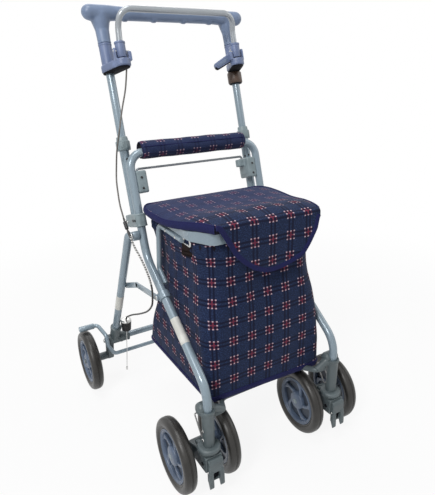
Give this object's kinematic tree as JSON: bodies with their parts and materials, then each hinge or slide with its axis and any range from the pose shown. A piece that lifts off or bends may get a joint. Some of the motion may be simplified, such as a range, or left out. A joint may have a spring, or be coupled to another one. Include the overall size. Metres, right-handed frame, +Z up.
{
  "type": "shopping rollator",
  "caption": "Folding shopping rollator with a padded seat lid over a cloth bag, a loop brake bar, twin front casters and a folding rear frame.",
  "frame": {"origin": "on the floor under the middle of the footprint", "axes": "+Z up, -Y to the front where the casters are, +X to the right as seen from the front"},
  "size_m": [0.4564, 0.4914, 0.7748],
  "materials": {
    "frame_paint": "metallic silver blue",
    "post_paint": "metallic silver blue",
    "bar": "anodised",
    "wire": "bright",
    "green_grey": "satin moulded",
    "housing": "satin moulded",
    "grip": "satin moulded",
    "hub": "satin moulded",
    "tread": "matt",
    "brown_rubber": "matt",
    "black_plastic": "satin",
    "plaid": "woven"
  },
  "bodies": {
    "front_frame": {"front_frame_tube": "frame_paint", "post_left": "post_paint", "post_right": "post_paint", "post_collar_left": "green_grey", "post_collar_right": "green_grey", "lock_housing_left": "green_grey", "lock_housing_right": "green_grey", "frame_clamp_left": "green_grey", "frame_clamp_right": "green_grey", "caster_socket_left": "green_grey", "caster_socket_right": "green_grey", "front_crossbar": "frame_paint", "seat_bracket_left": "frame_paint", "seat_bracket_right": "frame_paint", "seat_rim": "green_grey", "backrest_roll": "plaid", "bag": "plaid", "bag_strap_left": "brown_rubber", "bag_strap_right": "brown_rubber", "brake_cable": "black_plastic"},
    "handle": {"handle_grip": "grip", "upper_post_left": "post_paint", "upper_post_right": "post_paint", "brake_housing_left": "housing", "brake_housing_right": "housing", "rubber_collar": "brown_rubber"},
    "brake_bar": {"brake_bar": "bar"},
    "parking_lever": {"parking_lever": "housing"},
    "release_rod": {"release_rod": "wire"},
    "lid": {"lid": "plaid"},
    "rear_frame": {"rear_leg_left": "frame_paint", "rear_leg_right": "frame_paint", "rear_cross_tube": "frame_paint", "rear_joint_left": "green_grey", "rear_joint_right": "green_grey", "cable_adjuster": "black_plastic"},
    "side_stays": {"side_stay_left": "frame_paint", "side_stay_right": "frame_paint"},
    "stay_sleeves": {"stay_sleeve_left": "green_grey", "stay_sleeve_right": "green_grey"},
    "brake_rod": {"brake_rod": "frame_paint"},
    "rear_wheel_left": {"rear_left_hub": "hub", "rear_left_tyre": "tread"},
    "rear_wheel_right": {"rear_right_hub": "hub", "rear_right_tyre": "tread"},
    "caster_left": {"caster_yoke_left": "green_grey"},
    "caster_right": {"caster_yoke_right": "green_grey"},
    "claw_left": {"step_claw_left": "green_grey"},
    "claw_right": {"step_claw_right": "green_grey"},
    "clip_left": {"lock_clip_left": "wire"},
    "clip_right": {"lock_clip_right": "wire"},
    "front_wheel_left_outer": {"front_left_outer_hub": "hub", "front_left_outer_tyre": "tread"},
    "front_wheel_left_inner": {"front_left_inner_hub": "hub", "front_left_inner_tyre": "tread"},
    "front_wheel_right_inner": {"front_right_inner_hub": "hub", "front_right_inner_tyre": "tread"},
    "front_wheel_right_outer": {"front_right_outer_hub": "hub", "front_right_outer_tyre": "tread"}
  },
  "joints": [
    {"name": "handle_slide", "type": "slide", "parent": "front_frame", "child": "handle", "axis": [0, 0.284, 0.9588], "range_m": [0, 0.1], "deforming": ["brake_cable"]},
    {"name": "brake_squeeze", "type": "hinge", "parent": "handle", "child": "brake_bar", "pos_m": [0, 0.09775, 0.69945], "axis": [-1, 0, 0], "range_deg": [0, 20], "stiffness_Nm_per_rad": 1.5, "springref_deg": -5.73},
    {"name": "parking_brake", "type": "hinge", "parent": "handle", "child": "parking_lever", "pos_m": [0.105, 0.09782, 0.68035], "axis": [0, -0.9588, 0.284], "range_deg": [0, 30]},
    {"name": "release_pull", "type": "slide", "parent": "front_frame", "child": "release_rod", "axis": [0, 0.284, 0.9588], "range_m": [0, 0.006], "stiffness_N_per_m": 150, "springref_m": -0.01},
    {"name": "lid_hinge", "type": "hinge", "parent": "front_frame", "child": "lid", "pos_m": [0, 0.01948, 0.4441], "axis": [-1, 0, 0], "range_deg": [0, 80]},
    {"name": "rear_fold", "type": "hinge", "parent": "front_frame", "child": "rear_frame", "pos_m": [0, 0.01688, 0.393], "axis": [-1, 0, 0], "range_deg": [0, 42], "deforming": ["brake_cable"]},
    {"name": "stay_swing", "type": "hinge", "parent": "rear_frame", "child": "side_stays", "pos_m": [0, 0.09988, 0.262], "axis": [1, 0, 0], "range_deg": [0, 62]},
    {"name": "sleeve_slide", "type": "slide", "parent": "front_frame", "child": "stay_sleeves", "axis": [0, -0.8281, -0.5606], "range_m": [0, 0.14]},
    {"name": "shoe_press", "type": "hinge", "parent": "rear_frame", "child": "brake_rod", "pos_m": [0, 0.17298, 0.106], "axis": [-1, 0, 0], "range_deg": [0, 4.8]},
    {"name": "rear_spin_left", "type": "hinge", "parent": "rear_frame", "child": "rear_wheel_left", "pos_m": [-0.2157, 0.18128, 0.06444], "axis": [1, 0, 0], "continuous": true},
    {"name": "rear_spin_right", "type": "hinge", "parent": "rear_frame", "child": "rear_wheel_right", "pos_m": [0.2157, 0.18128, 0.06444], "axis": [1, 0, 0], "continuous": true},
    {"name": "caster_swivel_left", "type": "hinge", "parent": "front_frame", "child": "caster_left", "pos_m": [-0.1315, -0.21472, 0.12], "axis": [0, 0, 1], "continuous": true},
    {"name": "caster_swivel_right", "type": "hinge", "parent": "front_frame", "child": "caster_right", "pos_m": [0.1315, -0.21472, 0.12], "axis": [0, 0, 1], "continuous": true},
    {"name": "claw_swing_left", "type": "hinge", "parent": "caster_left", "child": "claw_left", "pos_m": [-0.1315, -0.23582, 0.0605], "axis": [1, 0, 0], "range_deg": [0, 20], "stiffness_Nm_per_rad": 0.05, "springref_deg": -17.19},
    {"name": "claw_swing_right", "type": "hinge", "parent": "caster_right", "child": "claw_right", "pos_m": [0.1315, -0.23582, 0.0605], "axis": [1, 0, 0], "range_deg": [0, 20], "stiffness_Nm_per_rad": 0.05, "springref_deg": -17.19},
    {"name": "clip_swing_left", "type": "hinge", "parent": "front_frame", "child": "clip_left", "pos_m": [-0.1315, -0.20302, 0.108], "axis": [1, 0, 0], "range_deg": [0, 12]},
    {"name": "clip_swing_right", "type": "hinge", "parent": "front_frame", "child": "clip_right", "pos_m": [0.1315, -0.20302, 0.108], "axis": [1, 0, 0], "range_deg": [0, 12]},
    {"name": "front_spin_left_outer", "type": "hinge", "parent": "caster_left", "child": "front_wheel_left_outer", "pos_m": [-0.1727, -0.17242, 0.06444], "axis": [1, 0, 0], "continuous": true},
    {"name": "front_spin_left_inner", "type": "hinge", "parent": "caster_left", "child": "front_wheel_left_inner", "pos_m": [-0.0903, -0.17242, 0.06444], "axis": [1, 0, 0], "continuous": true},
    {"name": "front_spin_right_inner", "type": "hinge", "parent": "caster_right", "child": "front_wheel_right_inner", "pos_m": [0.0903, -0.17242, 0.06444], "axis": [1, 0, 0], "continuous": true},
    {"name": "front_spin_right_outer", "type": "hinge", "parent": "caster_right", "child": "front_wheel_right_outer", "pos_m": [0.1727, -0.17242, 0.06444], "axis": [1, 0, 0], "continuous": true}
  ],
  "couplings": [
    {"joint": "stay_swing", "follows": "rear_fold", "ratio": 1.447},
    {"joint": "sleeve_slide", "follows": "rear_fold", "m_per_rad": 0.1882},
    {"joint": "shoe_press", "follows": "brake_squeeze", "ratio": 0.24}
  ]
}
